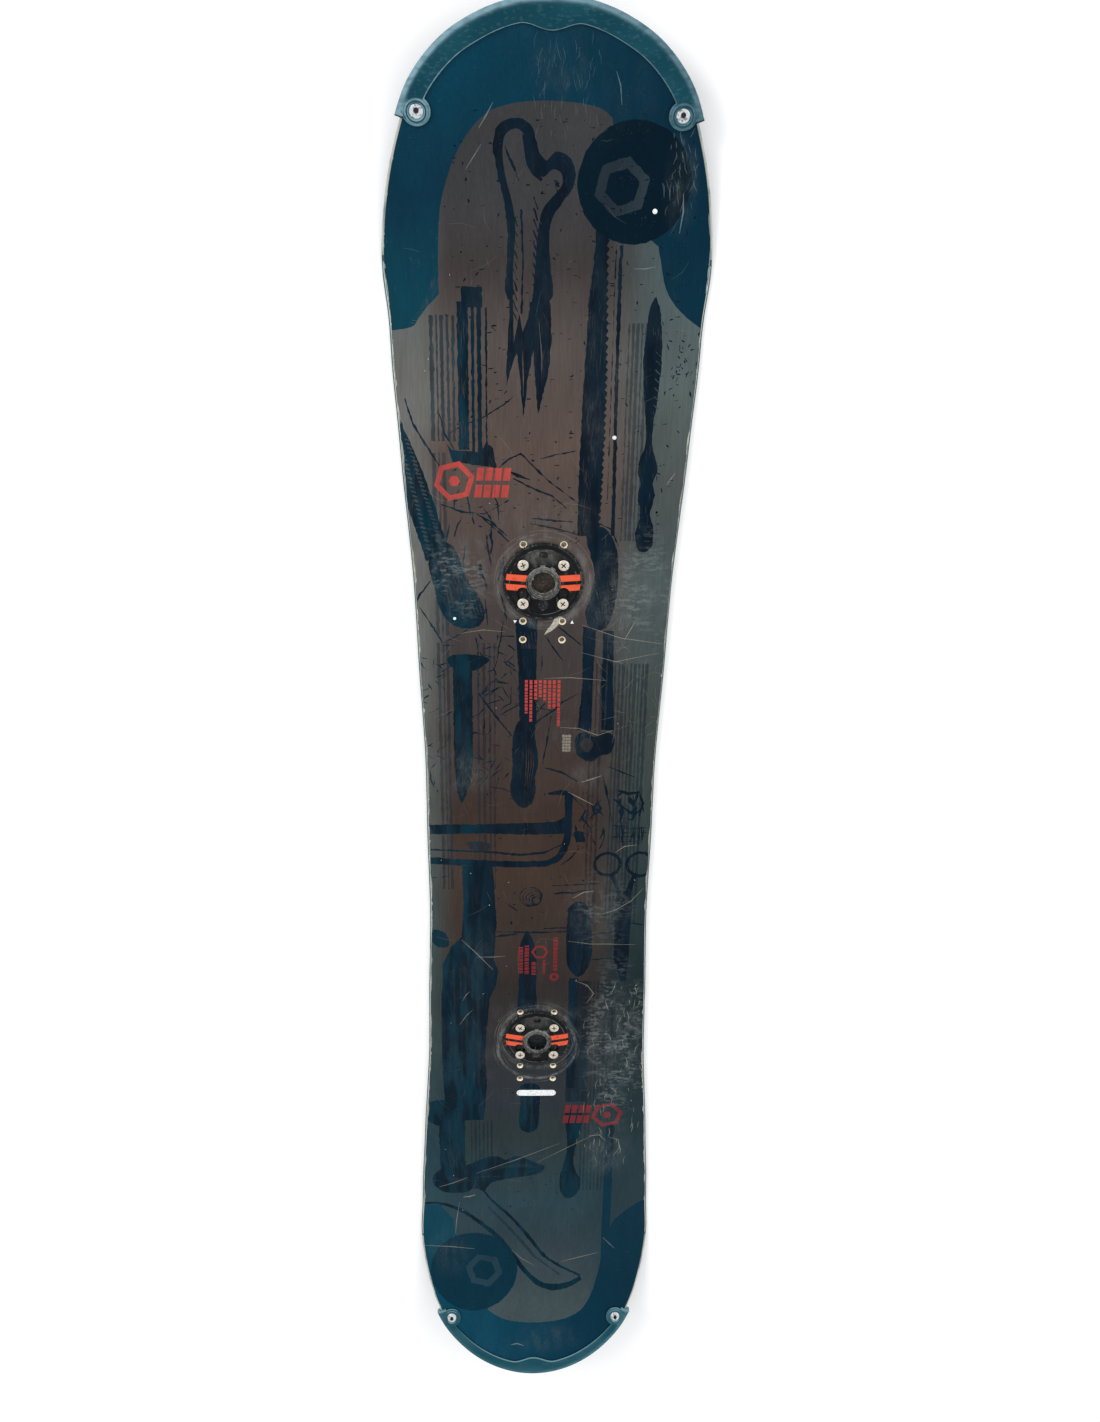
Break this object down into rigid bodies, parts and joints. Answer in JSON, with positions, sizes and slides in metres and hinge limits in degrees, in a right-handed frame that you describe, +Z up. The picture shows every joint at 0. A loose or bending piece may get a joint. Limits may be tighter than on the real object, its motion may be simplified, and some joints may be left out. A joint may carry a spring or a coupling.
{
  "type": "snowboard",
  "caption": "One-piece snowboard with kicked nose and tail, bolt-on end guards, threaded inserts and round toothed binding discs with lock rings.",
  "frame": {"origin": "on the running base, under the middle of the board's overall length", "axes": "+Y towards the nose, +X to the right, +Z up out of the top sheet"},
  "size_m": [0.2974, 1.5802, 0.0679],
  "materials": {
    "top_sheet": "worn satin printed film in grey-brown and dark petrol blue, scratched",
    "guard_rubber": "satin dark petrol moulding with a paler worn outer face",
    "edge_steel": "ground and dulled steel",
    "stainless": "worn bright steel",
    "glass_laminate": "resin-filled glass cloth",
    "core_wood": "sanded vertical laminations",
    "sidewall_abs": "planed black plastic",
    "base_polyethylene": "stone-ground waxed sheet",
    "disc_plastic": "satin glass-filled moulding, dusty",
    "collar_plastic": "worn satin moulding",
    "index_orange": "bright orange moulding"
  },
  "bodies": {
    "board": {"top_sheet": "top_sheet", "upper_laminate": "glass_laminate", "wood_core": "core_wood", "sidewall_left": "sidewall_abs", "sidewall_right": "sidewall_abs", "nose_spacer": "sidewall_abs", "tail_spacer": "sidewall_abs", "lower_laminate": "glass_laminate", "steel_edge": "edge_steel", "running_base": "base_polyethylene", "nose_guard": "guard_rubber", "tail_guard": "guard_rubber", "front_detent_spring": "edge_steel", "front_disc": "disc_plastic", "front_disc_screw_1": "stainless", "front_disc_screw_2": "stainless", "front_disc_screw_3": "stainless", "front_disc_screw_4": "stainless", "front_index_marks": "index_orange", "front_insert_1_left": "stainless", "front_insert_1_right": "stainless", "front_insert_2_left": "stainless", "front_insert_2_right": "stainless", "front_insert_4_left": "stainless", "front_insert_4_right": "stainless", "front_insert_5_left": "stainless", "front_insert_5_right": "stainless", "front_insert_6_left": "stainless", "front_insert_6_right": "stainless", "front_socket_cup": "disc_plastic", "nose_guard_nut_left": "edge_steel", "nose_guard_nut_right": "edge_steel", "nose_guard_screw_left": "stainless", "nose_guard_screw_right": "stainless", "rear_detent_spring": "edge_steel", "rear_disc": "disc_plastic", "rear_disc_screw_1": "stainless", "rear_disc_screw_2": "stainless", "rear_disc_screw_3": "stainless", "rear_disc_screw_4": "stainless", "rear_index_marks": "index_orange", "rear_insert_1_left": "stainless", "rear_insert_1_right": "stainless", "rear_insert_2_left": "stainless", "rear_insert_2_right": "stainless", "rear_insert_4_left": "stainless", "rear_insert_4_right": "stainless", "rear_insert_5_left": "stainless", "rear_insert_5_right": "stainless", "rear_insert_6_left": "stainless", "rear_insert_6_right": "stainless", "rear_socket_cup": "disc_plastic", "tail_guard_nut_left": "edge_steel", "tail_guard_nut_right": "edge_steel", "tail_guard_screw_left": "stainless", "tail_guard_screw_right": "stainless"},
    "front_lock_ring": {"front_lock_ring": "collar_plastic"},
    "rear_lock_ring": {"rear_lock_ring": "collar_plastic"},
    "front_detent_pin": {"front_detent_pin": "stainless"},
    "rear_detent_pin": {"rear_detent_pin": "stainless"}
  },
  "joints": [
    {"name": "front_lock_ring_turn", "type": "hinge", "parent": "board", "child": "front_lock_ring", "pos_m": [0, 0.2913, 0.0149], "axis": [0, 0, 1], "range_deg": [-40, 0]},
    {"name": "front_detent_press", "type": "slide", "parent": "board", "child": "front_detent_pin", "axis": [-0.9455, 0.3256, 0], "range_m": [0, 0.0014], "stiffness_N_per_m": 800, "springref_m": -0.001, "deforming": ["front_detent_spring"]},
    {"name": "rear_lock_ring_turn", "type": "hinge", "parent": "board", "child": "rear_lock_ring", "pos_m": [0, -0.2797, 0.0149], "axis": [0, 0, 1], "range_deg": [-40, 0]},
    {"name": "rear_detent_press", "type": "slide", "parent": "board", "child": "rear_detent_pin", "axis": [-0.9455, 0.3256, 0], "range_m": [0, 0.0014], "stiffness_N_per_m": 800, "springref_m": -0.001, "deforming": ["rear_detent_spring"]}
  ]
}
